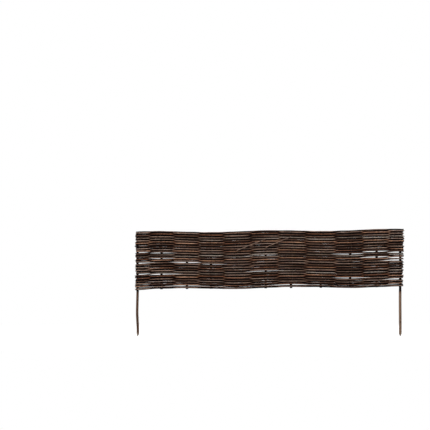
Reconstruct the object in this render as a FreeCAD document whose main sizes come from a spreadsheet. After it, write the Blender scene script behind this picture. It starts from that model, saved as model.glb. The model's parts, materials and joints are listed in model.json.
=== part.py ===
import FreeCAD
import Part
import Sketcher

import math
import os
import random

# Woven willow hurdle: a low garden edging panel.
# Upright willow stakes stand in a row, and long willow rods, the weavers, run in and out between them.
# Each weaver passes in front of one stake and behind the next, and its neighbours do the opposite.
# The two end stakes run on below the weave as sharpened legs, which are pushed into the soil.
#
# Frame: X along the panel, -Y towards the viewer, Z up.
# The origin is on the ground line, midway between the two end stakes, in the plane of the stakes.

# Driving dimensions, in millimetres: alias, value, meaning.
SIZES = [
    ("stake_spacing", 97.7, "stake to stake, centre to centre, as set out evenly"),
    ("shift_02", -8.7, "second stake beside its even place, as the hand set it"),
    ("shift_03", -11.4, "third stake"),
    ("shift_04", -20.1, "fourth stake"),
    ("shift_05", -20.8, "fifth stake"),
    ("shift_06", -11.5, "sixth stake"),
    ("shift_07", -15.2, "seventh stake"),
    ("shift_08", -1.9, "eighth stake"),
    ("shift_09", 9.4, "ninth stake"),
    ("shift_10", 9.7, "tenth stake"),
    ("stake_diameter", 8.2, "stake within the weave"),
    ("leg_diameter", 9.2, "end stake below the ground line, at its butt"),
    ("stake_top_inset", 3.5, "stake top below the top of the weave"),
    ("stake_foot_reveal", 2, "inner stake foot below the weave"),
    ("leg_length", 167.5, "end stake below the ground line"),
    ("point_long_bevel", 17, "longer knife cuts of the sharpened point"),
    ("point_short_bevel", 12, "shorter knife cuts of the sharpened point"),
    ("point_flat", 1.6, "width of the blunt tip"),
    ("ground_gap", 13.5, "lowest weaver above the ground line, halfway along"),
    ("weaver_count", 44, "weavers from bottom to top"),
    ("weaver_diameter", 4.6, "mean thickness of a weaver"),
    ("weaver_variety", 0.7, "how far a weaver's thickness may lie from the mean"),
    ("weaver_taper", 1.0, "butt thickness less tip thickness"),
    ("packing_gap", 0.2, "between two weavers where they cross"),
    ("weave_clearance", 0.3, "between a weaver and the stake it passes"),
    ("holding_run", 26, "straight run of a weaver across a stake"),
    ("left_overhang", 3, "weaver end beyond the outside of the left end stake"),
    ("right_overhang", 5, "lowest weaver's end beyond the outside of the right end stake"),
    ("right_lean", 4, "how much further the highest weaver reaches there"),
    ("overhang_variety", 2.5, "how far an overhang may lie from the mean"),
    ("weave_rise", 9, "how much higher the weave sits on the right end stake than on the left"),
    ("end_flare", 3, "extra height of the weave at the ends, where it is loose"),
    ("lift_at_ends", 3.4, "most that a weaver rises in front of the stakes in an end bay, and falls behind them"),
    ("lift_in_middle", 0.6, "the same in the middle bays"),
    ("lift_variety", 0.1, "how far one weaver's rise may lie from its neighbours'"),
    ("loose_height", 110, "height of the loosest weavers above the ground line"),
    ("lift_patch", 98, "height over which the weave is loose, tight and loose again"),
    ("tight_top", 90, "height at the top over which the weave grows tight"),
    ("lowest_sag", 2.4, "how far the lowest weaver hangs down left of the middle"),
    ("wander", 2.8, "height of the slow waves that all weavers share"),
    ("wander_length", 430, "length of one such wave"),
    ("wander_drift", 900, "height over which the waves move on by their own length"),
    ("loose_tip_butt", 3.6, "loose rod tip on the front of the weave, thickness at its lower end"),
    ("loose_tip_point", 2.2, "thickness at its upper end"),
    ("loose_tip_1_foot", 152, "first loose tip, height of its lower end above the ground line"),
    ("loose_tip_1_rise", 43, "how much higher its upper end is"),
    ("loose_tip_2_foot", 163, "second loose tip, height of its lower end above the ground line"),
    ("loose_tip_2_rise", 41, "how much higher its upper end is"),
]

# A weaver's section: six sides, with a corner above and below and a flat towards the viewer.
WEAVER_SIDES = 6

SHIFTS = [alias for alias, value, meaning in SIZES if alias.startswith("shift_")]
STAKE_COUNT = len(SHIFTS) + 2
BAY_COUNT = STAKE_COUNT - 1

doc = FreeCAD.newDocument("WillowHurdle")
sub_parts = []


def make_sheet():
    """The spreadsheet of driving dimensions: a name, a number with an alias, and a meaning on each row."""
    made = doc.addObject("Spreadsheet::Sheet", "Sizes")
    for row, (alias, value, meaning) in enumerate(SIZES, start=1):
        made.set(f"A{row}", alias)
        made.set(f"B{row}", str(value))
        made.setAlias(f"B{row}", alias)
        made.set(f"C{row}", meaning)
    doc.recompute()
    return made


sheet = make_sheet()


def size(alias):
    """A driving dimension as the sheet holds it."""
    return float(sheet.get(alias))


# Expressions that several pieces share.
WOVEN_HEIGHT = "Sizes.weaver_count * (Sizes.weaver_diameter + Sizes.packing_gap)"
INNER_STAKE_LENGTH = f"({WOVEN_HEIGHT} - Sizes.stake_top_inset + Sizes.stake_foot_reveal)"


def stake_place(index):
    """Expression for the X of a stake's axis, with the first stake as 0. The end stakes have no shift."""
    even_place = f"Sizes.stake_spacing * {index - BAY_COUNT / 2}"
    return f"{even_place} + Sizes.{SHIFTS[index - 1]}" if 0 < index < BAY_COUNT else even_place


def stake_foot(index):
    """Expression for the Z of a stake's foot just below the weave, which rises from left to right."""
    rise = f"Sizes.weave_rise * ({stake_place(index)}) / (Sizes.stake_spacing * {BAY_COUNT})"
    return f"(Sizes.ground_gap - Sizes.stake_foot_reveal + {rise})"


def origin_plane(body, role):
    """One of a body's own origin planes, found by its role."""
    return next(feature for feature in body.Origin.OriginFeatures if feature.Role == role)


def closed_outline(body, name, plane, corners):
    """A sketch of one closed loop of straight lines. Each corner is a pair of expressions.

    The loop is drawn roughly first, and each corner's two distances from the sketch's origin
    then pull it to its place.
    """
    sketch = body.newObject("Sketcher::SketchObject", name)
    sketch.AttachmentSupport = [(origin_plane(body, plane), "")]
    sketch.MapMode = "FlatFace"
    turns = [2 * math.pi * turn / len(corners) for turn in range(len(corners))]
    rough = [FreeCAD.Vector(math.cos(turn), math.sin(turn), 0) for turn in turns]
    for turn, start in enumerate(rough):
        end = rough[(turn + 1) % len(rough)]
        sketch.addGeometry(Part.LineSegment(start, end), False)
    for turn in range(len(corners)):
        sketch.addConstraint(Sketcher.Constraint("Coincident", turn, 2, (turn + 1) % len(corners), 1))
    for turn, (across, up) in enumerate(corners):
        for kind, expression in (("DistanceX", across), ("DistanceY", up)):
            start = rough[turn].x if kind == "DistanceX" else rough[turn].y
            number = sketch.addConstraint(Sketcher.Constraint(kind, -1, 1, turn, 1, start))
            sketch.setExpression(f"Constraints[{number}]", expression)
    return sketch


def turned_stake(name, index, outline):
    """A stake as a body: its half outline, with heights from its foot, turned about its own axis."""
    body = doc.addObject("PartDesign::Body", name)
    body.setExpression(".Placement.Base.x", stake_place(index))
    profile = closed_outline(body, f"{name}_profile", "XZ_Plane", outline)
    turned = body.newObject("PartDesign::Revolution", f"{name}_turned")
    turned.Profile = profile
    turned.ReferenceAxis = (profile, ["V_Axis"])
    turned.Angle = 360
    doc.recompute()
    return body


def inner_stake(name, index):
    """A stake between the ends: a plain length of rod that stops just below the weave."""
    radius = "Sizes.stake_diameter / 2"
    length = INNER_STAKE_LENGTH
    body = turned_stake(name, index, [("0", "0"), (radius, "0"), (radius, length), ("0", length)])
    body.setExpression(".Placement.Base.z", stake_foot(index))
    return body


def cut_bevel(body, name, plane, side, length):
    """One slanting knife cut that sharpens a stake's foot, on the +1 or -1 side of a plane's first axis.

    The cut runs from the edge of the blunt tip to the full thickness at the given length,
    and on past it to twice that thickness, clear of the wood.
    """
    tip = "Sizes.point_flat / 2"
    outside = "Sizes.leg_diameter"
    rise = f"{length} * ({outside} - {tip}) / ({outside} / 2 - {tip})"
    sign = "" if side > 0 else "-"
    triangle = [(f"{sign}{tip}", "0"), (f"{sign}{outside}", "0"), (f"{sign}{outside}", rise)]
    cut = body.newObject("PartDesign::Pocket", name)
    cut.Profile = closed_outline(body, f"{name}_outline", plane, triangle)
    cut.Type = "ThroughAll"
    cut.SideType = "Symmetric"
    before = body.Shape.Volume
    doc.recompute()
    if not body.Shape.Volume < before:
        raise RuntimeError(f"{name} cuts nothing")


def end_stake(name, index, outward):
    """An end stake with its leg and sharpened point. The long knife cuts face outwards and to the viewer."""
    radius = "Sizes.stake_diameter / 2"
    leg_radius = "Sizes.leg_diameter / 2"
    ground = "Sizes.leg_length"
    top = f"{ground} + {stake_foot(index)} + {INNER_STAKE_LENGTH}"
    outline = [("0", "0"), (leg_radius, "0"), (leg_radius, ground), (radius, ground), (radius, top), ("0", top)]
    body = turned_stake(name, index, outline)
    body.setExpression(".Placement.Base.z", "-Sizes.leg_length")
    cut_bevel(body, f"{name}_outer_cut", "XZ_Plane", outward, "Sizes.point_long_bevel")
    cut_bevel(body, f"{name}_inner_cut", "XZ_Plane", -outward, "Sizes.point_short_bevel")
    cut_bevel(body, f"{name}_front_cut", "YZ_Plane", -1, "Sizes.point_long_bevel")
    cut_bevel(body, f"{name}_rear_cut", "YZ_Plane", 1, "Sizes.point_short_bevel")
    return body


def make_stakes():
    """All stakes from left to right: an end stake at each end, and shorter ones between them."""
    last = STAKE_COUNT - 1
    sub_parts.append(end_stake("left_end_stake", 0, -1))
    for index in range(1, last):
        sub_parts.append(inner_stake(f"stake_{index + 1:02d}", index))
    sub_parts.append(end_stake("right_end_stake", last, 1))


def unlike(trait):
    """A departure from the mean in some named trait, from -1 to 1, the same on every run."""
    return random.Random(trait).uniform(-1, 1)


def weaver_thicknesses():
    """The mean thickness of each weaver, bottom first. They differ, and their own mean is weaver_diameter."""
    draws = [unlike(f"thickness of weaver {row}") for row in range(int(size("weaver_count")))]
    middle = sum(draws) / len(draws)
    return [size("weaver_diameter") + size("weaver_variety") * (draw - middle) for draw in draws]


def weaver_heights(thicknesses):
    """The resting height of each weaver's axis, stacked from the ground up with the packing gap between."""
    heights = []
    underside = size("ground_gap") + size("packing_gap") / 2
    for thickness in thicknesses:
        heights.append(underside + thickness / 2)
        underside += thickness + size("packing_gap")
    return heights


def stake_axes():
    """The X of every stake's axis, from left to right."""
    shifts = [0] + [size(shift) for shift in SHIFTS] + [0]
    return [size("stake_spacing") * (index - BAY_COUNT / 2) + shift for index, shift in enumerate(shifts)]


def weaver_section(place, radius):
    """The corners of one six-sided section of a weaver, square to the panel's length."""
    turns = [2 * math.pi * turn / WEAVER_SIDES for turn in range(WEAVER_SIDES)]
    return [place + FreeCAD.Vector(0, radius * math.sin(turn), radius * math.cos(turn)) for turn in turns]


def flat_face(corners):
    """A flat face with straight edges round the given corners."""
    return Part.Face(Part.makePolygon(corners + corners[:1]))


def skin_sections(sections):
    """A solid with a flat strip from each side of a section to the same side of the next, and closed ends."""
    faces = [flat_face(sections[0]), flat_face(sections[-1])]
    for here, there in zip(sections, sections[1:]):
        for side in range(WEAVER_SIDES):
            after = (side + 1) % WEAVER_SIDES
            faces.append(flat_face([here[side], here[after], there[after], there[side]]))
    skin = Part.makeShell(faces)
    skin.sewShape()
    solid = Part.makeSolid(skin)
    if solid.Volume < 0:
        solid.reverse()
    return solid


def bay_lift(row, bay, height, weave_top):
    """How far a weaver rises where it is in front within a bay, and falls where it is behind.

    Both ends of a bay share one lift, so that a weaver is back at its own height where it crosses others.
    The squared wave leaves most of the weave tight, and opens slits beside the stakes in a few patches,
    which stand a little higher or lower in the next bay.
    """
    from_middle = (2 * bay + 1) / BAY_COUNT - 1
    end_share = min(1, 2 * from_middle ** 2)
    level = size("lift_in_middle") + (size("lift_at_ends") - size("lift_in_middle")) * end_share
    looseness = min(1, (weave_top - height) / size("tight_top")) ** 2
    phase = math.pi * (height - size("loose_height")) / size("lift_patch") + 0.4 * math.sin(1.9 * bay)
    patch = math.cos(phase) ** 2
    uneven = 0.5 + 0.5 * unlike(f"patch at weaver {row} in bay {bay}")
    own = size("lift_variety") * unlike(f"lift of weaver {row} in bay {bay}")
    return level * looseness * patch * uneven + own


def lowest_weaver_drop(share):
    """How far the lowest weaver hangs down at a share of the panel's length from the left."""
    return size("lowest_sag") * math.sin(2 * math.pi * share) ** 2 if 0 < share < 0.5 else 0


def weaver_shape(row, thickness, height, weave_top):
    """One weaver, skinned over sections at both ends of its run across each stake.

    Heights in the sections start at the weaver's own resting height. The butts of neighbouring weavers
    lie at opposite ends of the panel, so that the stack is level.
    """
    stakes = stake_axes()
    last = BAY_COUNT
    half_run = size("holding_run") / 2
    stake_radius = size("stake_diameter") / 2
    butt_side = 1 if row % 2 == 0 else -1
    share_up = (height - size("ground_gap")) / (weave_top - size("ground_gap"))
    left_reach = stake_radius + size("left_overhang") + size("overhang_variety") * unlike(f"left end {row}")
    right_reach = stake_radius + size("right_overhang") + size("right_lean") * share_up
    right_reach += size("overhang_variety") * unlike(f"right end {row}")
    sections = []
    for index, axis in enumerate(stakes):
        front = 1 if (row + index) % 2 == 0 else -1
        run_start = axis - half_run
        run_end = axis + half_run
        if index == 0:
            run_start = axis - left_reach
        if index == last:
            run_end = axis + right_reach
        for along, bay in ((run_start, max(index - 1, 0)), (run_end, min(index, last - 1))):
            share = (along - stakes[0]) / (stakes[-1] - stakes[0])
            radius = thickness / 2 + butt_side * size("weaver_taper") / 2 * (0.5 - share)
            flat_radius = radius * math.cos(math.pi / WEAVER_SIDES)
            reach = stake_radius + size("weave_clearance") + flat_radius
            phase = 2 * math.pi * (along / size("wander_length") + height / size("wander_drift"))
            up = size("wander") * math.sin(phase)
            up += size("weave_rise") * (share - 0.5)
            up += size("end_flare") * (share_up - 0.5) * (2 * share - 1) ** 2
            up += front * bay_lift(row, bay, height, weave_top)
            if row == 0:
                up -= lowest_weaver_drop(share)
            sections.append(weaver_section(FreeCAD.Vector(along, -front * reach, up), radius))
    return skin_sections(sections)


def make_weavers():
    """All weavers, bottom first. Each is a free form, so its shape is set as it is and lifted to its place."""
    thicknesses = weaver_thicknesses()
    heights = weaver_heights(thicknesses)
    weave_top = size("ground_gap") + size("weaver_count") * (size("weaver_diameter") + size("packing_gap"))
    weavers = []
    for row, (thickness, height) in enumerate(zip(thicknesses, heights)):
        weaver = doc.addObject("Part::Feature", f"weaver_{row + 1:02d}")
        weaver.Shape = weaver_shape(row, thickness, height, weave_top)
        weaver.Placement.Base.z = height
        weavers.append(weaver)
    sub_parts.extend(weavers)
    return weavers


def loose_tip_shape(number, first_stake):
    """A thin rod end that has sprung out of the weave and slants over the front of one bay, clear of the weave."""
    start, end = stake_axes()[first_stake:first_stake + 2]
    clear_of_weave = size("stake_diameter") + 2 * size("weaver_diameter")
    foot = FreeCAD.Vector(start, -clear_of_weave, size(f"loose_tip_{number}_foot"))
    top = foot + FreeCAD.Vector(end - start, 0, size(f"loose_tip_{number}_rise"))
    butt = weaver_section(foot, size("loose_tip_butt") / 2)
    point = weaver_section(top, size("loose_tip_point") / 2)
    return skin_sections([butt, point])


def laid_against(shape, others):
    """A shape moved back towards other shapes, until only the weave clearance is left between them."""
    behind = Part.makeCompound(others)
    for step in range(10):
        gap = shape.distToShape(behind)[0] - size("weave_clearance")
        if gap < 0.01:
            break
        shape = shape.translated(FreeCAD.Vector(0, gap, 0))
    return shape


def make_loose_tips(weavers):
    """The two loose tips, which lie on the weavers in the bays on either side of the middle stake."""
    middle_stake = STAKE_COUNT // 2
    for number, first_stake in ((1, middle_stake - 1), (2, middle_stake)):
        shape = loose_tip_shape(number, first_stake)
        low, high = shape.BoundBox.ZMin, shape.BoundBox.ZMax
        crossed = [weaver.Shape for weaver in weavers if low < weaver.Shape.BoundBox.Center.z < high]
        tip = doc.addObject("Part::Feature", f"loose_tip_{number}")
        tip.Shape = laid_against(shape, crossed)
        sub_parts.append(tip)


def check_document():
    """Stops if any object failed to compute, or a sub-part isn't one sound solid."""
    for item in doc.Objects:
        if "Invalid" in item.State or "Error" in item.State:
            raise RuntimeError(f"{item.Name} failed: {item.State}")
    for item in sub_parts:
        shape = item.Shape
        if shape.isNull() or not shape.isValid() or len(shape.Solids) != 1 or shape.Volume <= 0:
            raise RuntimeError(f"{item.Label} isn't one sound solid")


def write_parts():
    """Writes each sub-part to its own file, named by its label."""
    os.makedirs("parts", exist_ok=True)
    for item in sub_parts:
        item.Shape.exportStep(os.path.join("parts", f"{item.Label}.step"))
    print(f"wrote {len(sub_parts)} sub-parts")


make_stakes()
make_loose_tips(make_weavers())
doc.recompute()
check_document()
write_parts()
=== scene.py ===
# %% [markdown]
# # A woven willow hurdle
#
# A hurdle is a light fence panel. This one is a low garden edging: a row of upright willow stakes,
# with long willow rods, the weavers, wound in and out between them. The solids that come with the
# part give every rod its place, its thickness and its order in the weave, but their sections are
# six-sided and their bends are sharp. This script reads each rod's line from its solid and grows a
# round, tapering rod with buds along it.

import json
import math

import bpy
import numpy as np
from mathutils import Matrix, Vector


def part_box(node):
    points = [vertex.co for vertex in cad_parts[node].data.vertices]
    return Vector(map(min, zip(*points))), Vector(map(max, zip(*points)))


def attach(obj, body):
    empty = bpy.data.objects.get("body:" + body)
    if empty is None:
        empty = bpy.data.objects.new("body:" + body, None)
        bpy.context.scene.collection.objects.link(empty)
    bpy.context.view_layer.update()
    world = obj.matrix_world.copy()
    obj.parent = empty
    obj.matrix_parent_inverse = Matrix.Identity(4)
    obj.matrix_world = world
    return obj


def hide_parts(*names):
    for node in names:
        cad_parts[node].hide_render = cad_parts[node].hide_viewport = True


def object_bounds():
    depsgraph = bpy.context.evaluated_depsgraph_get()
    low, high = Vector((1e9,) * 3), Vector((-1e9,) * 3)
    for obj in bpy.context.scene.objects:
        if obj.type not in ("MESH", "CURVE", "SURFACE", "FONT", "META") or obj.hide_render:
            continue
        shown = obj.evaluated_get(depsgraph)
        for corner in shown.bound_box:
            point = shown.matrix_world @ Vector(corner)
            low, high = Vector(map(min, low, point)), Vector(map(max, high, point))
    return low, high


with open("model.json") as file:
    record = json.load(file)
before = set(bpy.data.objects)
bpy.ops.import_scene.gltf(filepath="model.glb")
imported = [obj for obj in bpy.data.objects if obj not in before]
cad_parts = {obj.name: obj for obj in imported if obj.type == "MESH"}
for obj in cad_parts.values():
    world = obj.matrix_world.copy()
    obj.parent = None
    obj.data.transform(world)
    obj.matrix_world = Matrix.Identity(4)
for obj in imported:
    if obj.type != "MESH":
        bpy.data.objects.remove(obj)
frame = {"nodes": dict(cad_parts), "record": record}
solid_low, solid_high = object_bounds()
slot_of_node = {entry["node"]: entry["material_slot"] for entry in frame["record"]["subparts"]}
weaver_nodes = sorted(name for name in frame["nodes"] if name.startswith("weaver_"))
stake_nodes = sorted(name for name in frame["nodes"] if "stake" in name)
tip_nodes = sorted(name for name in frame["nodes"] if name.startswith("loose_tip_"))
print("weavers:", len(weaver_nodes), "loose tips:", len(tip_nodes), "stakes:", len(stake_nodes))

# %% [markdown]
# ## A rod's line
#
# Every corner of a weaver's solid lies in one of a few upright sections along the panel. Corners
# that share an X therefore belong to one section: halfway between its lowest and highest corner is
# the rod's middle, and half their distance is its radius there. Reading the line this way, and not
# typing it in again, keeps the rods where the solids are even after the panel is rebuilt with other
# sizes.

# %% Read a weaver's sections
SAME_PLACE_DIGITS = 5


def solid_corners(node):
    """All corner points of a solid, as an array of rows x, y, z in metres."""
    mesh = frame["nodes"][node].data
    flat = np.empty(3 * len(mesh.vertices))
    mesh.vertices.foreach_get("co", flat)
    return flat.reshape(-1, 3)


def weaver_sections(node):
    """Middle (x, y, z) and radius of each section of a weaver, from left to right.

    Corners are grouped by their X, to a hundredth of a millimetre. In each group the middle is
    (lowest + highest) / 2 and the radius is (highest - lowest) / 2 of the heights, because each
    section has a corner above and a corner below.
    """
    points = solid_corners(node)
    places, group = np.unique(np.round(points[:, 0], SAME_PLACE_DIGITS), return_inverse=True)
    low = np.full((len(places), 3), np.inf)
    high = np.full((len(places), 3), -np.inf)
    np.minimum.at(low, group, points)
    np.maximum.at(high, group, points)
    middle = (low + high) / 2
    radius = (high[:, 2] - low[:, 2]) / 2
    return middle, radius


first_middle, first_radius = weaver_sections(weaver_nodes[0])
first_thickness = 2000 * first_radius
print("sections in the lowest weaver:", len(first_middle))
print("its thickness: %.1f to %.1f mm" % (first_thickness.min(), first_thickness.max()))

# %% [markdown]
# ## Tight runs and open slits
#
# Beside each stake a weaver in front is pushed up a little and the one behind it, just below, is
# pushed down, which opens a slit between the two. In the solids this is spread over all rods of a
# loose patch. In a hurdle that has dried out, most of these pairs stay tight and the slack gathers
# in a few wide slits. So each pair at each stake is drawn as tight or open. A tight pair keeps a
# small share of its lift, and an open pair gets a reach of its own. Open pairs are more common, and
# reach further, near the ends of the panel, where nothing beyond holds the rods down.
#
# What the rows have in common, such as the slow wave of the whole weave, is the mean over
# neighbouring rows, because the lift turns its sign from row to row.

# %% Gather the slack
TIGHT_LIFT = 0.10
OPEN_IN_MIDDLE, OPEN_AT_ENDS = 0.06, 0.38
REACH_IN_MIDDLE, REACH_AT_ENDS = 0.0009, 0.0018
WIDEST_SLIT, SLIT_SPREAD = 1.3, 0.6
SLIT_SEED = 20
# How loose the weave is at each level, from the bottom row at 0 to the top row at 1.
LEVELS = (0.0, 0.12, 0.3, 0.5, 0.64, 0.74, 0.85, 1.0)
LOOSENESS = (0.45, 0.5, 0.6, 1.0, 0.6, 0.15, 0.001, 0.001)
ROW_REACH = 4
SECTIONS_PER_STAKE = 2


def row_mean(values):
    """Mean over ROW_REACH rows below and above, mirrored at the bottom and the top.

    The outermost two rows count half.
    """
    padded = np.pad(values, ((ROW_REACH, ROW_REACH), (0, 0)), mode="reflect")
    weights = np.ones(2 * ROW_REACH + 1)
    weights[[0, -1]] = 0.5
    weights /= weights.sum()
    return sum(weight * padded[k:k + len(values)] for k, weight in enumerate(weights))


def gathered_sections():
    """Sections of all weavers, where each height is height - lift + (tight lift or open reach).

    The lift is a section's height above its rod's mean height, less the rows' common wave. At stake
    k the weaver of row r belongs to pair (r + 1 - k mod 2) // 2, and one draw from 0 to 1 settles
    both rods of a pair. A pair is open where its draw is less than its chance, and its reach is then
    multiplied by WIDEST_SLIT - SLIT_SPREAD * draw / chance, up in front and down behind. A tight
    pair keeps TIGHT_LIFT of its lift. Chance and reach grow with the square of the distance from
    the panel's middle.
    """
    read = [weaver_sections(node) for node in weaver_nodes]
    middle = np.stack([one[0] for one in read])
    heights = middle[:, :, 2]
    rise = heights - heights.mean(axis=1, keepdims=True)
    lift = rise - row_mean(rise)
    row = np.arange(len(read))[:, None]
    stake = np.arange(middle.shape[1])[None] // SECTIONS_PER_STAKE
    pair = (row + 1 - stake % 2) // 2
    outward = (2 * stake / stake.max() - 1) ** 2
    chance = OPEN_IN_MIDDLE + (OPEN_AT_ENDS - OPEN_IN_MIDDLE) * outward
    chance = chance * np.interp(pair / pair.max(), LEVELS, LOOSENESS)
    draws = np.random.default_rng(SLIT_SEED).random((pair.max() + 1, stake.max() + 1))
    drawn = draws[pair, stake]
    reach = REACH_IN_MIDDLE + (REACH_AT_ENDS - REACH_IN_MIDDLE) * outward
    reach = reach * (WIDEST_SLIT - SLIT_SPREAD * drawn / chance)
    reach = reach * np.where(middle[:, :, 1] < 0, 1, -1)
    middle[:, :, 2] = heights - lift + np.where(drawn < chance, reach, TIGHT_LIFT * lift)
    return {node: (middle[n], read[n][1]) for n, node in enumerate(weaver_nodes)}


sections = gathered_sections()
sections.update({node: weaver_sections(node) for node in tip_nodes})
print("rods with sections:", len(sections))

# %% [markdown]
# ## From sharp bends to a springy curve
#
# A green rod can't be folded: it springs from stake to stake in one long wave. A spline through the
# sections would do, but it swings past them. A running average with bell-shaped weights only ever
# cuts corners. The line is sampled finely first, and its ends are carried on straight, so that the
# average has something to work with there. Along the row a rod keeps its height beside a stake and
# changes over between two stakes, so that a slit is long and its ends are narrow.
#
# The solids also leave room between rods and stakes. The lines are spread a little, to the front
# and to the back, and the stakes are made thick enough to fill what is between.

# %% Smooth a line
BELL_TAIL = 4


def bell_smoothed(values, reach):
    """Running average of an array along its first axis, with weights exp(-(k / reach)^2 / 2).

    k is the number of samples away, up to BELL_TAIL * reach. Beyond each end the values go on in a
    straight line: past the first value v0, sample -k is 2 v0 - vk.
    """
    pad = min(BELL_TAIL * reach, len(values) - 2)
    steps = np.arange(-pad, pad + 1)
    weights = np.exp(-0.5 * (steps / reach) ** 2)
    weights /= weights.sum()
    before = 2 * values[:1] - values[pad:0:-1]
    after = 2 * values[-1:] - values[-2:-pad - 2:-1]
    padded = np.concatenate([before, values, after])
    columns = padded.reshape(len(padded), -1)
    smooth = np.stack([np.convolve(column, weights, mode="valid") for column in columns.T], axis=1)
    return smooth.reshape(values.shape)


spike = np.array([0, 0, 0, 0, 0, 1, 0, 0, 0, 0, 0], float)
print("a single 1 among zeros, smoothed:", np.round(bell_smoothed(spike, 1), 2))

# %% A weaver's line
RING_STEP = 0.00165
BEND_REACH = 6
WEAVE_SPREAD = 1.14
CROOK_WAVES = 3
CROOK_LENGTHS = (0.05, 0.16)
CROOK_HEIGHT = 0.00012


def eased_heights(x, middle):
    """Heights at places x, level near each section and changing over between: z0 + (z1 - z0) * s.

    With t from 0 to 1 between two sections, s is t * t * (3 - 2 t).
    """
    place = np.interp(x, middle[:, 0], np.arange(len(middle)))
    before = np.minimum(place.astype(int), len(middle) - 2)
    share = place - before
    eased = share * share * (3 - 2 * share)
    return middle[before, 2] + (middle[before + 1, 2] - middle[before, 2]) * eased


def weaver_line(node, draw):
    """A weaver's middle line and radius at evenly spaced X, smoothed, with a crook of its own.

    The crook is the sum of CROOK_WAVES waves, CROOK_HEIGHT * sin(2 pi x / length + phase), sideways
    and up and down. A loose tip runs straight from section to section before it is smoothed.
    """
    middle, radius = sections[node]
    start, end = middle[0, 0], middle[-1, 0]
    x = np.linspace(start, end, int((end - start) / RING_STEP))
    if node in tip_nodes:
        height = np.interp(x, middle[:, 0], middle[:, 2])
    else:
        height = eased_heights(x, middle)
    line = np.stack([x, np.interp(x, middle[:, 0], middle[:, 1]), height], axis=1)
    line[:, 1:] = bell_smoothed(line[:, 1:], BEND_REACH)
    line[:, 1] *= WEAVE_SPREAD
    lengths = draw.uniform(*CROOK_LENGTHS, (CROOK_WAVES, 1))
    phases = draw.uniform(0, 2 * math.pi, (2, CROOK_WAVES, 1))
    crook = np.sin(2 * math.pi * x / lengths + phases).sum(axis=1)
    line[:, 1:] += CROOK_HEIGHT * crook.T
    return line, np.interp(x, middle[:, 0], radius)


sample_line, _ = weaver_line(weaver_nodes[0], np.random.default_rng(0))
sample_step = 1000 * (sample_line[1, 0] - sample_line[0, 0])
print("rings in one weaver: %d, every %.2f mm" % (len(sample_line), sample_step))

# %% [markdown]
# ## A rod as a surface of two parameters
#
# The rod's skin is a grid: one parameter runs along the line, the other round it. Willow carries a
# bud every few centimetres, each with a low swelling and a small scar on one side, so the radius is
# not a constant but a function of both parameters. A curve with a round bevel would give the tube,
# but not the buds. The last rings close in on the middle to make the cut ends, and the cut slants,
# as shears leave it.

# %% Swell a rod at its buds
BUD_LENGTH = 0.002
BUD_SHIFTS = (0.2, 0.8)
BUD_SIZES = (0.5, 1.3)
BUD_TURN = 0.4
BUD_TURN_NOISE = 0.3
FIRST_BUD_ANGLES = (0, 6.28)
BUD_COLLAR, BUD_BUMP = 0.25, 0.75


def bud_relief(along, around, draw, spacing, height):
    """Swelling of a rod at its buds, on the grid of distance along (metres) and angle around.

    Each bud adds height * exp(-(distance / BUD_LENGTH)^2) times
    BUD_COLLAR + BUD_BUMP * max(0, cos(angle - bud angle))^3. Bud angles go round by about 2/5 of a
    turn from one to the next, as leaves do on willow.
    """
    count = max(1, int((along[-1] - along[0]) / spacing))
    places = along[0] + spacing * (np.arange(count) + draw.uniform(*BUD_SHIFTS, count))
    angles = 2 * math.pi * BUD_TURN * np.arange(count) + draw.uniform(*FIRST_BUD_ANGLES)
    angles = angles + draw.normal(0, BUD_TURN_NOISE, count)
    heights = height * draw.uniform(*BUD_SIZES, count)
    near = np.exp(-(((along[:, None] - places) / BUD_LENGTH) ** 2))
    facing = BUD_COLLAR + BUD_BUMP * np.clip(np.cos(around[:, None] - angles), 0, None) ** 3
    return np.einsum("ab,cb->ac", near * heights, facing)


print("buds swell over %.0f mm to each side" % (1000 * BUD_LENGTH))

# %% Grow a rod's skin
WEAVER_SIDES = 12
SLANTED_RINGS = 4
UP, FRONT = (0, 0, 1), (0, -1, 0)
SQUARE_ENDS = (0, 0)


def cross_frame(line, upward):
    """Three unit directions at each point of a line: along it, sideways, and up.

    Along is the line's slope, side is along x upward, and up is side x along, each made a unit.
    """
    tangent = np.gradient(line, axis=0)
    tangent /= np.linalg.norm(tangent, axis=1, keepdims=True)
    side = np.cross(tangent, upward)
    side /= np.linalg.norm(side, axis=1, keepdims=True)
    return tangent, side, np.cross(side, tangent)


def rod_grid(line, radius, upward, slants):
    """Points of a rod's skin, in an array ring x round x 3.

    Ring i, angle a: line_i + radius(i, a) * (cos a * up_i + sin a * side_i), moved along the rod by
    slant * radius * cos(a) in the last few rings at each end, where slant is the steepness of the cut.
    """
    around = np.linspace(0, 2 * math.pi, radius.shape[1], endpoint=False)
    up_share, side_share = np.cos(around)[None, :, None], np.sin(around)[None, :, None]
    tangent, side, up = cross_frame(line, np.asarray(upward, float))
    outward = up_share * up[:, None] + side_share * side[:, None]
    points = line[:, None] + radius[:, :, None] * outward
    fade_start = np.clip(1 - np.arange(len(line)) / SLANTED_RINGS, 0, 1)
    steepness = slants[0] * fade_start + slants[1] * fade_start[::-1]
    lean = steepness[:, None] * radius * np.cos(around)[None]
    return points + lean[:, :, None] * tangent[:, None]


sample_radius = np.full((len(sample_line), WEAVER_SIDES), first_radius.mean())
sample_skin = rod_grid(sample_line, sample_radius, UP, SQUARE_ENDS)
print("one weaver's skin: %d by %d points" % sample_skin.shape[:2])

# %% Close the ends
RIM_SHARE, RIM_RISE = 0.82, 0.06


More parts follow.
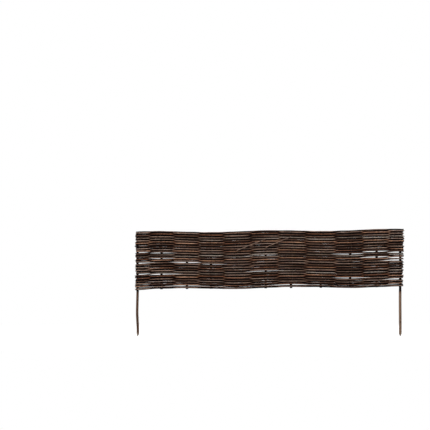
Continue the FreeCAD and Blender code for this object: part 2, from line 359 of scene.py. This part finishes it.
def closed_tube(points):
    """Vertices and faces of a tube with closed ends, from its grid of rings, and its count of rings.

    Each end gets a slightly smaller ring past the last one, which softens the edge, and one middle
    point. Faces are quads between neighbouring rings, with the last column joined to the first, and
    a fan at each end.
    """
    start_middle = points[0].mean(axis=0)
    end_middle = points[-1].mean(axis=0)
    start_rim = start_middle + RIM_SHARE * (points[0] - start_middle)
    start_rim -= RIM_RISE * (points[1] - points[0])
    end_rim = end_middle + RIM_SHARE * (points[-1] - end_middle)
    end_rim += RIM_RISE * (points[-1] - points[-2])
    grid = np.concatenate([start_rim[None], points, end_rim[None]])
    rings, sides = grid.shape[:2]
    vertices = np.concatenate([grid.reshape(-1, 3), start_middle[None], end_middle[None]])
    here = np.arange(rings * sides).reshape(rings, sides)
    after = np.roll(here, -1, axis=1)
    quads = np.stack([here[:-1], here[1:], after[1:], after[:-1]], axis=-1).reshape(-1, 4)
    first_pole = np.full(sides, rings * sides)
    last_pole = first_pole + 1
    start_fan = np.stack([first_pole, here[0], after[0]], axis=-1)
    end_fan = np.stack([last_pole, after[-1], here[-1]], axis=-1)
    return vertices, quads, np.concatenate([start_fan, end_fan]), rings


print("with closed ends:", len(closed_tube(sample_skin)[0]), "points")

# %% [markdown]
# ## Into a Blender mesh
#
# Blender stores a mesh as long flat lists, so whole arrays go in at once with foreach_set. Four
# numbers travel with every vertex for the finish to read: the rod's own tone, the painted light and
# shade of its bark, how near a bud is, and how far the bark is cut away. They are stored as
# attributes, because they follow the surface wherever the rod bends.

# %% Make a mesh object from arrays
# The second trait is painted light and shade: paler on top and out of the weave, darker behind stakes.
TRAITS = ("tone", "sun", "bud", "cut")


def mesh_piece(name, vertices, quads, triangles, traits):
    """A new mesh object at the origin, with smooth faces and one float attribute per trait."""
    mesh = bpy.data.meshes.new(name)
    corners = np.concatenate([quads.ravel(), triangles.ravel()]).astype(np.int32)
    sizes = np.concatenate([np.full(len(quads), 4), np.full(len(triangles), 3)]).astype(np.int32)
    starts = np.concatenate([[0], np.cumsum(sizes)[:-1]]).astype(np.int32)
    mesh.vertices.add(len(vertices))
    mesh.vertices.foreach_set("co", vertices.astype(np.float32).ravel())
    mesh.loops.add(len(corners))
    mesh.loops.foreach_set("vertex_index", corners)
    mesh.polygons.add(len(sizes))
    mesh.polygons.foreach_set("loop_start", starts)
    mesh.polygons.foreach_set("use_smooth", np.ones(len(sizes), bool))
    for trait, values in traits.items():
        attribute = mesh.attributes.new(trait, "FLOAT", "POINT")
        attribute.data.foreach_set("value", values.astype(np.float32).ravel())
    mesh.update(calc_edges=True)
    mesh.validate()
    piece = bpy.data.objects.new(name, mesh)
    bpy.context.scene.collection.objects.link(piece)
    return piece


print("numbers with each vertex of a rod:", ", ".join(TRAITS))

# %% Make a rod


def rod_piece(name, line, radius, upward, slants, traits, end_wood):
    """A rod as a mesh piece, from its line, and its radius and its TRAITS on the grid.

    The softened edge and the middle of each end take the traits of the nearest ring, but their cut
    is end_wood, the share of wood that the end shows.
    """
    vertices, quads, triangles, rings = closed_tube(rod_grid(line, radius, upward, slants))
    sides = radius.shape[1]
    all_traits = {}
    for trait, values in zip(TRAITS, traits):
        grid = np.pad(np.broadcast_to(values, radius.shape), ((1, 1), (0, 0)), mode="edge")
        all_traits[trait] = np.concatenate([grid.ravel(), grid[[0, -1], 0]])
    all_traits["cut"][:sides] = end_wood
    all_traits["cut"][(rings - 1) * sides:] = end_wood
    return mesh_piece(name, vertices, quads, triangles, all_traits)


print("points at each end of a weaver:", WEAVER_SIDES, "on the soft edge and 1 in the middle")

# %% [markdown]
# ## The weavers
#
# The solids leave a hair of room between rods. In a real hurdle the rods press on each other, so the
# round rods are made a touch thicker than the solids, until they close the weave. Each rod draws its
# own tone, crook and buds from a numbered seed, so the panel looks the same on every run. The cut
# ends have weathered as dark as the bark.
#
# The bark is painted paler where a rod arches out of the weave, and most on its upper side: a painted
# highlight. Where the rod dips behind a stake, and on the side that faces into the weave, it is
# painted
# dark: a painted shade. This painted light and shade goes into a trait of its own.

# %% Painted light and shade
WEAVE_DEPTH = 0.0073
# Painted light on the upper side and the outside of the weave, painted shade on the side facing into
# it.
PAINTED_SHADING_MEAN, PAINTED_OUTER_LIGHT, PAINTED_TOP_LIGHT = 0.34, 0.43, 0.30
BURIED_FROM, BURIED_EDGE = 0.20, 4.0
PAINTED_SHADING_DRIFT, PAINTED_SHADING_DRIFT_REACH = 0.75, 16


def slow_noise(draw, count, reach):
    """Noise that changes slowly along a rod: one normal draw for each ring, bell-smoothed."""
    return bell_smoothed(draw.normal(0, 1, count), reach)


def weaver_painted_shading(line, around, draw):
    """Painted light and shade on a weaver's grid: PAINTED_SHADING_MEAN + PAINTED_OUTER_LIGHT * outer
    + PAINTED_TOP_LIGHT * cos(angle), where the cos(angle) term is a painted highlight on the upper
      side.

    Outer is tanh(BURIED_EDGE * (BURIED_FROM - buried)) * |sin(angle)|: painted light on the outside of
    the weave and painted shade on the side that faces into it. Buried goes from -1, where the rod runs
    on the outside of the weave that this angle faces, to 1, where it runs on the other side:
    y / WEAVE_DEPTH less a slow drift of the rod's own, with its sign turned for the back.
    """
    facing = np.sin(around)
    drift = PAINTED_SHADING_DRIFT * slow_noise(draw, len(line), PAINTED_SHADING_DRIFT_REACH)
    buried = np.sign(facing) * (line[:, 1] / WEAVE_DEPTH - drift)[:, None]
    outer = np.tanh(BURIED_EDGE * (BURIED_FROM - buried)) * np.abs(facing)
    return np.clip(PAINTED_SHADING_MEAN + PAINTED_OUTER_LIGHT * outer + PAINTED_TOP_LIGHT * np.cos(around), 0, 1)


print("lines stand %.1f mm from the middle" % (1000 * np.abs(sample_line[:, 1]).max()))

# %% Grow the weavers
WEAVER_SEED = 1000
FULLNESS = 1.12
WEAVER_BUD_GAPS, WEAVER_BUD, WEAVER_BUD_SCAR = (0.028, 0.046), 0.00042, 0.0004
UNEVENNESS, UNEVENNESS_REACH = 0.09, 8
END_SLANT = 0.9
WEAVER_END_WOOD = 0.0
WEAVER_TONES, TIP_TONE = (0.1, 0.9), 0.9
TONE_DRIFT, TONE_DRIFT_REACH = 2.8, 30


def place_piece(piece, node):
    """Hangs a piece on the panel's one body, in place of a solid, which it hides."""
    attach(piece, "root")
    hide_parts(node)
    return piece


def weaver_piece(node, seed):
    """A weaver or loose tip as a round rod with buds and a thickness that is nowhere quite even.

    Its radius is FULLNESS * the solid's radius * (1 + UNEVENNESS * noise) + the swelling at buds.
    """
    draw = np.random.default_rng(seed)
    line, radius = weaver_line(node, draw)
    around = np.linspace(0, 2 * math.pi, WEAVER_SIDES, endpoint=False)
    swelling = bud_relief(line[:, 0], around, draw, draw.uniform(*WEAVER_BUD_GAPS), WEAVER_BUD)
    uneven = 1 + UNEVENNESS * slow_noise(draw, len(line), UNEVENNESS_REACH)
    grid_radius = FULLNESS * (radius * uneven)[:, None] + swelling
    bud = np.clip(swelling / WEAVER_BUD_SCAR, 0, 1)
    slants = draw.uniform(-END_SLANT, END_SLANT, 2)
    # Painted light and shade of this rod, by its place in the weave.
    sun = weaver_painted_shading(line, around, draw)
    tone = TIP_TONE if node in tip_nodes else draw.uniform(*WEAVER_TONES)
    tone = np.clip(tone + TONE_DRIFT * slow_noise(draw, len(line), TONE_DRIFT_REACH), 0, 1)[:, None]
    traits = (tone, sun, bud, np.zeros_like(bud))
    return rod_piece(f"rod_{node}", line, grid_radius, UP, slants, traits, WEAVER_END_WOOD)


weavers = [
    place_piece(weaver_piece(node, WEAVER_SEED + n), node)
    for n, node in enumerate(weaver_nodes + tip_nodes)
]
weaver_faces = sum(len(piece.data.polygons) for piece in weavers)
print("weavers and loose tips:", len(weavers), "with", weaver_faces, "faces")

# %% [markdown]
# ## The stakes
#
# A stake is a straight rod on end. Its line is upright, and it may have a slight crook. The two end
# stakes run on below the weave as legs, and are sharpened with four knife cuts. Each cut is a flat
# plane, and in the plane of one ring it limits how far the wood may reach in its direction:
# reach / cos(angle). Taking the smallest of the full radius and the four limits gives the faceted
# point without any cutting tool.

# %% Sharpen a leg
POINT_FLAT = 0.0008
POINT_CUTS = ((math.pi / 2, 0.013), (0.0, 0.017), (-math.pi / 2, 0.010), (math.pi, 0.012))
LEAST_LEAN = 0.05


def point_radius(height, around, full, outward):
    """Radius of a sharpened end at a height above its tip, for each angle round it.

    It is the least of the full radius and the limits of the cuts. A cut facing angle c, that comes
    to the full radius at height L, limits the radius on its own side to
    (POINT_FLAT + (full - POINT_FLAT) * height / L) / cos(angle - c).
    """
    limit = np.broadcast_to(full, (len(height), len(around))).copy()
    for facing, length in POINT_CUTS:
        lean = np.cos(around - facing * outward)
        reach = POINT_FLAT + (full[:, 0] - POINT_FLAT) * height / length
        cut = reach[:, None] / np.clip(lean, LEAST_LEAN, None)[None]
        limit = np.where((lean[None] > LEAST_LEAN) & (cut < limit), cut, limit)
    return limit


print("knife cuts on a point:", len(POINT_CUTS))

# %% A stake's line
STAKE_CROOK, STAKE_CROOK_TURNS, STAKE_CROOK_PHASES = 0.0004, (1.2, 2.2), (0, 6)
BOWED_STAKE, BOW_REACH = "left_end_stake", 14
BOW_HEIGHTS = (-0.1675, -0.145, -0.125, -0.10, -0.077, -0.03, 0.0)
BOW_SHIFTS = (0.0008, 0.0018, 0.0012, -0.0009, -0.0019, -0.0010, 0.0)


def stake_line(node, z, axis, draw):
    """A stake's upright line at heights z: its axis plus a crook and, on one leg, a slight bow.

    The crook is STAKE_CROOK * sin(2 pi * turns * (z - lowest z) / length + phase), along X.
    """
    turns = draw.uniform(*STAKE_CROOK_TURNS)
    phase = draw.uniform(*STAKE_CROOK_PHASES)
    x = axis[0] + STAKE_CROOK * np.sin(2 * math.pi * (z - z[0]) / (z[-1] - z[0]) * turns + phase)
    if node == BOWED_STAKE:
        x = x + bell_smoothed(np.interp(z, BOW_HEIGHTS, BOW_SHIFTS), BOW_REACH)
    return np.stack([x, np.full(len(z), axis[1]), z], axis=1)


print("bow of one leg: up to %.1f mm" % (1000 * max(map(abs, BOW_SHIFTS))))

# %% Grow the stakes
STAKE_SEED = 2000
STAKE_SIDES = 24
END_STAKE_RINGS, INNER_STAKE_RINGS = 420, 160
STAKE_RADIUS = 0.0047
STAKE_END_WOOD = 0.2
STAKE_BUD_GAPS, STAKE_BUD = (0.03, 0.045), 0.0003
# Inside the weave a stake gets a low tone and dark painted shade, for the weave's shadow; legs get
# painted light.
WOVEN_SHADED_TONE, INNER_SHADED_TONES = 0.15, (0, 0.3)
WOVEN_PAINTED_SHADE, LEG_PAINTED_LIGHT_GAIN = 0.25, 0.49
LEG_TOP, LEG_EASE = 0.004, 0.003
LEG_TONE = {"left_end_stake": 0.2, "right_end_stake": 0.68}
LEG_RADIUS = {"left_end_stake": 0.00475, "right_end_stake": 0.00515}
SHAVED = 1e-6


def stake_piece(node, seed):
    """A stake along the axis of its solid, with buds and, on an end stake, a sharpened leg.

    Radius, tone and painted light and shade change from woven stake to leg by
    1 / (1 + exp((z - LEG_TOP) / LEG_EASE)). The low tone and dark painted shade in the weave stand in
    for the weave's shadow on the stake.
    """
    low, high = (np.array(corner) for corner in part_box(node))
    draw = np.random.default_rng(seed)
    has_leg = node in LEG_TONE
    z = np.linspace(low[2], high[2], END_STAKE_RINGS if has_leg else INNER_STAKE_RINGS)
    axis = (low + high) / 2
    line = stake_line(node, z, axis, draw)
    around = np.linspace(0, 2 * math.pi, STAKE_SIDES, endpoint=False)
    swelling = bud_relief(z, around, draw, draw.uniform(*STAKE_BUD_GAPS), STAKE_BUD)
    if has_leg:
        leg = 1 / (1 + np.exp((z - LEG_TOP) / LEG_EASE))
        whole = (STAKE_RADIUS + (LEG_RADIUS[node] - STAKE_RADIUS) * leg)[:, None] + swelling
        radius = point_radius(z - low[2], around, whole, math.copysign(1, axis[0]))
        cut = (radius < whole - SHAVED).astype(float)
        tone = WOVEN_SHADED_TONE + (LEG_TONE[node] - WOVEN_SHADED_TONE) * leg
    else:
        leg = np.zeros(len(z))
        radius = STAKE_RADIUS + swelling
        cut = np.zeros_like(radius)
        # A low tone for an inner stake, as painted shade of the weave around it.
        tone = np.full(len(z), draw.uniform(*INNER_SHADED_TONES))
    bud = np.clip(swelling / STAKE_BUD, 0, 1) * (1 - cut)
    # Painted shade on the woven part of a stake, painted light on its legs.
    sun = WOVEN_PAINTED_SHADE + LEG_PAINTED_LIGHT_GAIN * leg
    traits = (tone[:, None], sun[:, None], bud, cut)
    return rod_piece(f"rod_{node}", line, radius, FRONT, SQUARE_ENDS, traits, STAKE_END_WOOD)


stakes = [
    place_piece(stake_piece(node, STAKE_SEED + n), node)
    for n, node in enumerate(stake_nodes)
]
print("stakes:", len(stakes), "with", sum(len(piece.data.polygons) for piece in stakes), "faces")

# %% [markdown]
# ## Bark
#
# Dry willow bark is brown with patches that are redder or greyer, fine wrinkles along the rod, small
# pale pores and dark bud scars. All rods share this make-up and differ only in their colours, so it
# is one node group that four finishes use. Wrinkles are noise that has been stretched along the rod,
# which is along X for weavers and along Z for stakes. The rod's tone shifts the noise, so that no
# two rods show the same patches.

# %% Helpers for nodes
MIX_FIRST_COLOR, MIX_SECOND_COLOR, MIX_COLOR = 6, 7, 2


def add_node(tree, kind, **settings):
    """A new node with its settings and, by socket name or number, its unlinked values."""
    node = tree.nodes.new(kind)
    for key, value in settings.pop("values", {}).items():
        node.inputs[key].default_value = value
    for key, value in settings.items():
        setattr(node, key, value)
    return node


def math_node(tree, operation, first, second, clamp=False):
    """A Math node; first and second are sockets or numbers. Gives its output socket."""
    node = add_node(tree, "ShaderNodeMath", operation=operation, use_clamp=clamp)
    for socket, value in zip(node.inputs, (first, second)):
        if isinstance(value, (int, float)):
            socket.default_value = value
        else:
            tree.links.new(value, socket)
    return node.outputs[0]


def ranged(tree, value, low, high, to_low, to_high):
    """A Map Range node, smooth and held at both ends. Gives its output socket."""
    limits = {"From Min": low, "From Max": high, "To Min": to_low, "To Max": to_high}
    node = add_node(tree, "ShaderNodeMapRange", interpolation_type="SMOOTHSTEP", clamp=True)
    for name, number in limits.items():
        node.inputs[name].default_value = number
    tree.links.new(value, node.inputs["Value"])
    return node.outputs["Result"]


def mixed(tree, share, first, second, blend="MIX"):
    """A colour Mix node; first and second are colour sockets or colours. Gives its output socket."""
    node = add_node(tree, "ShaderNodeMix", data_type="RGBA", blend_type=blend, clamp_factor=True)
    if isinstance(share, (int, float)):
        node.inputs["Factor"].default_value = share
    else:
        tree.links.new(share, node.inputs["Factor"])
    for number, value in ((MIX_FIRST_COLOR, first), (MIX_SECOND_COLOR, second)):
        if isinstance(value, tuple):
            node.inputs[number].default_value = (*value, 1)
        else:
            tree.links.new(value, node.inputs[number])
    return node.outputs[MIX_COLOR]


print("node helpers: add_node, math_node, ranged, mixed")

# %% Sockets of the bark group
# The fourth input carries the rod's painted light and shade.
BARK_INPUTS = {
    "Place": "NodeSocketVector",
    "Stretch": "NodeSocketVector",
    "Tone": "NodeSocketFloat",
    "Sun": "NodeSocketFloat",
    "Bud": "NodeSocketFloat",
    "Cut": "NodeSocketFloat",
    "Fresh bark": "NodeSocketColor",
    "Old bark": "NodeSocketColor",
    "Wood": "NodeSocketColor",
}
BARK_OUTPUTS = {
    "Color": "NodeSocketColor",
    "Roughness": "NodeSocketFloat",
    "Relief": "NodeSocketFloat",
}
willow_bark = bpy.data.node_groups.new("willow_bark", "ShaderNodeTree")
for direction, sockets in (("INPUT", BARK_INPUTS), ("OUTPUT", BARK_OUTPUTS)):
    for name, kind in sockets.items():
        willow_bark.interface.new_socket(name, in_out=direction, socket_type=kind)
print("bark group:", len(BARK_INPUTS), "inputs and", len(BARK_OUTPUTS), "outputs")

# %% Patches, wrinkles and pores
PATCH_NOISE = {"Scale": 1.0, "Detail": 3.0}
WRINKLE_NOISE = {"Scale": 7.0, "Detail": 4.0}
PORE_CELLS = {"Scale": 9.0}
PATCH_RANGE, WRINKLE_RANGE, PORE_RANGE = (0.36, 0.66), (0.30, 0.70), (0.10, 0.22)
TONE_TO_SEED = 41.0


def bark_patterns(tree, given):
    """Three masks from 0 to 1: old patches and wrinkles from noise, pores near the cells' middles.

    All are read at place * stretch, and at a fourth coordinate of TONE_TO_SEED * tone.
    """
    stretched = add_node(tree, "ShaderNodeVectorMath", operation="MULTIPLY")
    tree.links.new(given["Place"], stretched.inputs[0])
    tree.links.new(given["Stretch"], stretched.inputs[1])
    seed = math_node(tree, "MULTIPLY", given["Tone"], TONE_TO_SEED)
    patches = add_node(tree, "ShaderNodeTexNoise", noise_dimensions="4D", values=PATCH_NOISE)
    wrinkles = add_node(tree, "ShaderNodeTexNoise", noise_dimensions="4D", values=WRINKLE_NOISE)
    pores = add_node(tree, "ShaderNodeTexVoronoi", voronoi_dimensions="4D", values=PORE_CELLS)
    for texture in (patches, wrinkles, pores):
        tree.links.new(stretched.outputs[0], texture.inputs["Vector"])
        tree.links.new(seed, texture.inputs["W"])
    age = ranged(tree, patches.outputs["Fac"], *PATCH_RANGE, 0, 1)
    lines = ranged(tree, wrinkles.outputs["Fac"], *WRINKLE_RANGE, 0, 1)
    pore = ranged(tree, pores.outputs["Distance"], *PORE_RANGE, 1, 0)
    return age, lines, pore


bark_given = add_node(willow_bark, "NodeGroupInput").outputs
bark_age, bark_lines, bark_pore = bark_patterns(willow_bark, bark_given)
print("nodes for the patterns:", len(willow_bark.nodes))

# %% [markdown]
# ### From painted shade to painted light
#
# The painted light and shade trait makes bark darker or paler by a factor, the shade: painted shade
# below 1 and painted light above. One factor for all three colour channels would keep the hue. The
# painted shade is made redder than that, though, and the painted light greyer. Raising the shade to a
# higher power in green, and a higher one still in blue, does both at once: shades under 1 lose green
# and blue, and shades over 1 gain them.

# %% Shade and colour of bark
LINES_SHADE, LEAST_SHADE = 0.75, 0.55
TONE_SHADES = (0.5, 1.5)
# These turn the painted light and shade into a factor: 0.03 is painted shade, up to 3.05 painted
# light.
PAINTED_SHADING_RANGE, PAINTED_SHADE_AND_LIGHT = (0.52, 0.96), (0.03, 3.05)
# Higher powers in green and blue make painted shade redder and painted light greyer.
SHADE_POWERS = (1.0, 1.25, 1.40)
PORE_COLOR, PORE_SHARE = (0.20, 0.145, 0.105), 0.4
SCAR_COLOR, SCAR_SHARE = (0.035, 0.018, 0.012), 0.55
DARK_GRAIN, PALE_GRAIN = (0.55, 0.50, 0.45), (1.0, 1.0, 1.0)


def bark_shade(tree, given, lines):
    """The colour that bark is multiplied by: shade raised to SHADE_POWERS in red, green and blue.

    Shade is (LEAST_SHADE + LINES_SHADE * lines) * tone's shade * the factor of the painted light and
    shade.
    """
    shade = math_node(tree, "ADD", math_node(tree, "MULTIPLY", lines, LINES_SHADE), LEAST_SHADE)
    shade = math_node(tree, "MULTIPLY", shade, ranged(tree, given["Tone"], 0, 1, *TONE_SHADES))
    shade = math_node(tree, "MULTIPLY", shade, ranged(tree, given["Sun"], *PAINTED_SHADING_RANGE, *PAINTED_SHADE_AND_LIGHT))
    color = add_node(tree, "ShaderNodeCombineColor")
    for channel, power in zip(color.inputs, SHADE_POWERS):
        tree.links.new(math_node(tree, "POWER", shade, power), channel)
    return color.outputs[0]


def bark_color(tree, given, age, lines, pore):
    """Fresh bark turning old with age, with pale pores, times the shade, with dark bud scars.

    Where the bark is cut away, it is the wood's colour times its grain.
    """
    bark = mixed(tree, age, given["Fresh bark"], given["Old bark"])
    bark = mixed(tree, math_node(tree, "MULTIPLY", pore, PORE_SHARE), bark, PORE_COLOR)
    bark = mixed(tree, 1.0, bark, bark_shade(tree, given, lines), "MULTIPLY")
    bark = mixed(tree, math_node(tree, "MULTIPLY", given["Bud"], SCAR_SHARE), bark, SCAR_COLOR)
    grain = mixed(tree, lines, DARK_GRAIN, PALE_GRAIN)
    wood = mixed(tree, 1.0, given["Wood"], grain, "MULTIPLY")
    return mixed(tree, given["Cut"], bark, wood)


bark_result = add_node(willow_bark, "NodeGroupOutput").inputs
color = bark_color(willow_bark, bark_given, bark_age, bark_lines, bark_pore)
willow_bark.links.new(color, bark_result["Color"])
print("nodes with the colour:", len(willow_bark.nodes))

# %% Roughness and relief of bark
LEAST_ROUGH, AGE_ROUGH, CUT_ROUGH = 0.56, 0.16, 0.18
LINES_RELIEF, PORE_RELIEF = 0.6, 0.4


def bark_surface(tree, given, age, lines, pore):
    """Roughness, LEAST_ROUGH + AGE_ROUGH * age + CUT_ROUGH * cut, and relief.

    Relief is LINES_RELIEF * lines + PORE_RELIEF * pore.
    """
    rough = math_node(tree, "ADD", math_node(tree, "MULTIPLY", age, AGE_ROUGH), LEAST_ROUGH)
    cut_rough = math_node(tree, "MULTIPLY", given["Cut"], CUT_ROUGH)
    rough = math_node(tree, "ADD", rough, cut_rough, clamp=True)
    lines_relief = math_node(tree, "MULTIPLY", lines, LINES_RELIEF)
    pore_relief = math_node(tree, "MULTIPLY", pore, PORE_RELIEF)
    return rough, math_node(tree, "ADD", lines_relief, pore_relief)


rough, relief = bark_surface(willow_bark, bark_given, bark_age, bark_lines, bark_pore)
willow_bark.links.new(rough, bark_result["Roughness"])
willow_bark.links.new(relief, bark_result["Relief"])
print("nodes in the whole bark group:", len(willow_bark.nodes))

# %% [markdown]
# ## Four finishes
#
# Weavers come in brown, russet and grey bark, and the thicker stakes in a browner, smoother one. Each
# finish is a Principled shader fed by the bark group with its own colours. The group's relief goes
# through a Bump node, at a depth of some tenths of a millimetre, for the wrinkles that are too fine
# to model.

# %% Make the finishes
ALONG_X, ALONG_Z = (14, 260, 260), (260, 260, 14)
CUT_WOOD = (0.40, 0.285, 0.20)
BARK_SPECULAR = 0.05
WRINKLE_BUMP = {"Strength": 0.5, "Distance": 0.0004}
FRESH_AND_OLD = {
    "brown_willow": ((0.101, 0.049, 0.030), (0.056, 0.029, 0.020)),
    "russet_willow": ((0.150, 0.060, 0.030), (0.068, 0.030, 0.019)),
    "grey_willow": ((0.128, 0.077, 0.053), (0.071, 0.045, 0.033)),
    "stake_willow": ((0.170, 0.092, 0.056), (0.105, 0.061, 0.041)),
}


def willow_finish(name, stretch, fresh, old):
    """A material named for its slot: the bark group with its stretch and colours, on a shader."""
    material = bpy.data.materials.new(name)
    material.use_nodes = True
    tree = material.node_tree
    shader = tree.nodes["Principled BSDF"]
    shader.inputs["Specular IOR Level"].default_value = BARK_SPECULAR
    bark = add_node(tree, "ShaderNodeGroup", node_tree=willow_bark)
    place = add_node(tree, "ShaderNodeTexCoord")
    tree.links.new(place.outputs["Object"], bark.inputs["Place"])
    for trait in TRAITS:
        attribute = add_node(tree, "ShaderNodeAttribute", attribute_name=trait)
        tree.links.new(attribute.outputs["Fac"], bark.inputs[trait.capitalize()])
    bark.inputs["Stretch"].default_value = stretch
    for socket, color in (("Fresh bark", fresh), ("Old bark", old), ("Wood", CUT_WOOD)):
        bark.inputs[socket].default_value = (*color, 1)
    bump = add_node(tree, "ShaderNodeBump", values=WRINKLE_BUMP)
    tree.links.new(bark.outputs["Relief"], bump.inputs["Height"])
    tree.links.new(bark.outputs["Color"], shader.inputs["Base Color"])
    tree.links.new(bark.outputs["Roughness"], shader.inputs["Roughness"])
    tree.links.new(bump.outputs["Normal"], shader.inputs["Normal"])
    return material


finishes = {
    slot: willow_finish(slot, ALONG_Z if slot == "stake_willow" else ALONG_X, fresh, old)
    for slot, (fresh, old) in FRESH_AND_OLD.items()
}
for piece in weavers + stakes:
    node = piece.name.removeprefix("rod_")
    piece.data.materials.append(finishes[slot_of_node[node]])
print("finishes:", ", ".join(finishes))

# %% [markdown]
# ## The floor
#
# The panel is shown on white. The floor is a plain pale sheet under the points of the legs. It could
# be lit until it is white, but that light would fall on the panel too. So a little glow, for the
# camera only, lifts its lit parts to white and leaves the shadow.

# %% Floor finish
FLOOR_ALBEDO, FLOOR_ROUGHNESS = 0.30, 0.9
FLOOR_GLOW = 0.86
LIT_REACH = (0.9, 1.6)


def seen_rays(tree):
    """1 for what the camera sees, also in a mirror or through glass, and 0 for light on its way."""
    rays = add_node(tree, "ShaderNodeLightPath").outputs
    seen = math_node(tree, "MAXIMUM", rays["Is Camera Ray"], rays["Is Glossy Ray"])
    return math_node(tree, "MAXIMUM", seen, rays["Is Transmission Ray"])


def floor_finish():
    """A matt sheet with a glow that lights nothing. Past the lamps' reach only the glow is left.

    The glow is FLOOR_GLOW near the panel, where light and shadow fall, and 1 further out.
    """
    material = bpy.data.materials.new("pale_floor")
    material.use_nodes = True
    tree = material.node_tree
    sheet = tree.nodes["Principled BSDF"]
    sheet.inputs["Base Color"].default_value = (FLOOR_ALBEDO, FLOOR_ALBEDO, FLOOR_ALBEDO, 1)
    sheet.inputs["Roughness"].default_value = FLOOR_ROUGHNESS
    sheet.inputs["Specular IOR Level"].default_value = 0.0
    place = add_node(tree, "ShaderNodeTexCoord")
    distance = add_node(tree, "ShaderNodeVectorMath", operation="LENGTH")
    tree.links.new(place.outputs["Object"], distance.inputs[0])
    far = ranged(tree, distance.outputs["Value"], *LIT_REACH, 0, 1)
    seen = seen_rays(tree)
    near_glow = add_node(tree, "ShaderNodeEmission")
    tree.links.new(math_node(tree, "MULTIPLY", seen, FLOOR_GLOW), near_glow.inputs["Strength"])
    far_glow = add_node(tree, "ShaderNodeEmission")
    tree.links.new(seen, far_glow.inputs["Strength"])
    near_floor = add_node(tree, "ShaderNodeAddShader")
    tree.links.new(sheet.outputs[0], near_floor.inputs[0])
    tree.links.new(near_glow.outputs[0], near_floor.inputs[1])
    whole = add_node(tree, "ShaderNodeMixShader")
    tree.links.new(far, whole.inputs[0])
    tree.links.new(near_floor.outputs[0], whole.inputs[1])
    tree.links.new(far_glow.outputs[0], whole.inputs[2])
    tree.links.new(whole.outputs[0], tree.nodes["Material Output"].inputs["Surface"])
    return material


pale_floor = floor_finish()
print("nodes in the floor's finish:", len(pale_floor.node_tree.nodes))

# %% Lay the floor
FLOOR_HALF, FLOOR_GAP = 30.0, 0.0005
floor_z = solid_low.z - FLOOR_GAP
floor_square = np.array([[-1, -1, 0], [1, -1, 0], [1, 1, 0], [-1, 1, 0]], float)
floor_corners = FLOOR_HALF * floor_square + (0, 0, floor_z)
floor = mesh_piece("floor", floor_corners, np.array([[0, 1, 2, 3]]), np.empty((0, 3)), {})
floor.data.materials.append(pale_floor)
print("floor at z = %.4f m" % floor_z)

# %% [markdown]
# ## Light
#
# A wide lamp above and in front gives the bright upper sides and dark undersides that make a weave
# readable. A weak one in front fills in a little. One behind and one to each side light the back and
# the ends, which are looked at too. The camera sees none of the lamps. The sky is white to the
# camera, and dim to everything else.

# %% Sky
AMBIENT = 0.03
world = bpy.data.worlds.new("studio")
bpy.context.scene.world = world
world.use_nodes = True
sky = world.node_tree
background = sky.nodes["Background"]
background.inputs["Color"].default_value = (1, 1, 1, 1)
sky_strength = math_node(sky, "MAXIMUM", seen_rays(sky), AMBIENT)
sky.links.new(sky_strength, background.inputs["Strength"])
print("sky: 1 to the camera and %.2f to surfaces" % AMBIENT)

# %% Lamps
# Each lamp's place, the point it is turned to, its width and height in metres, and its watts.
LAMPS = {
    "top_lamp": ((-0.35, -1.45, 2.15), (0, 0, 0.08), (2.6, 0.6), 72),
    "front_lamp": ((0.6, -3.4, 0.9), (0, 0, 0.05), (2.0, 1.4), 4),
    "back_lamp": ((0.5, 2.6, 1.0), (0, 0, 0.05), (2.0, 0.8), 55),
    "left_lamp": ((-2.6, 1.1, 1.0), (-0.3, 0, 0.05), (0.8, 0.8), 40),
    "right_lamp": ((2.6, 1.1, 1.0), (0.3, 0, 0.05), (0.8, 0.8), 40),
}


def soft_lamp(name, place, aim, size, power):
    """A rectangular lamp at a place, turned to a point."""
    data = bpy.data.lights.new(name, "AREA")
    data.shape = "RECTANGLE"
    data.size, data.size_y = size
    data.energy = power
    lamp = bpy.data.objects.new(name, data)
    lamp.location = place
    lamp.rotation_euler = (Vector(aim) - Vector(place)).to_track_quat("-Z", "Y").to_euler()
    lamp.visible_camera = False
    bpy.context.scene.collection.objects.link(lamp)
    return lamp


lamps = [soft_lamp(name, *settings) for name, settings in LAMPS.items()]
print("lamps:", len(lamps))

# %% [markdown]
# ## The camera
#
# The photo was taken from straight in front and far away, so that the panel's edges stay parallel. A
# long lens at a great distance does the same. The camera looks straight along Y and is simply moved
# sideways and up, until the panel stands right of and below the picture's middle. A tilted camera
# would make the upright legs lean.

# %% Camera
PICTURE_WIDTH = 430
METRES_PER_PIXEL = 0.00372
PANEL_PIXEL = (268.9, 336.4)
CAMERA_DISTANCE = 12.0
SENSOR_WIDTH = 36
FARTHEST_SEEN = 200
camera_data = bpy.data.cameras.new("camera")
camera_data.sensor_width = SENSOR_WIDTH
camera_data.lens = SENSOR_WIDTH * CAMERA_DISTANCE / (PICTURE_WIDTH * METRES_PER_PIXEL)
camera_data.clip_end = FARTHEST_SEEN
camera = bpy.data.objects.new("camera", camera_data)
camera.location = (
    (PICTURE_WIDTH / 2 - PANEL_PIXEL[0]) * METRES_PER_PIXEL,
    -CAMERA_DISTANCE,
    solid_low.z + (PANEL_PIXEL[1] - PICTURE_WIDTH / 2) * METRES_PER_PIXEL,
)
camera.rotation_euler = (math.pi / 2, 0, 0)
bpy.context.scene.collection.objects.link(camera)
bpy.context.scene.camera = camera
bpy.context.scene.view_settings.view_transform = "Standard"
print("lens: %.0f mm" % camera_data.lens)
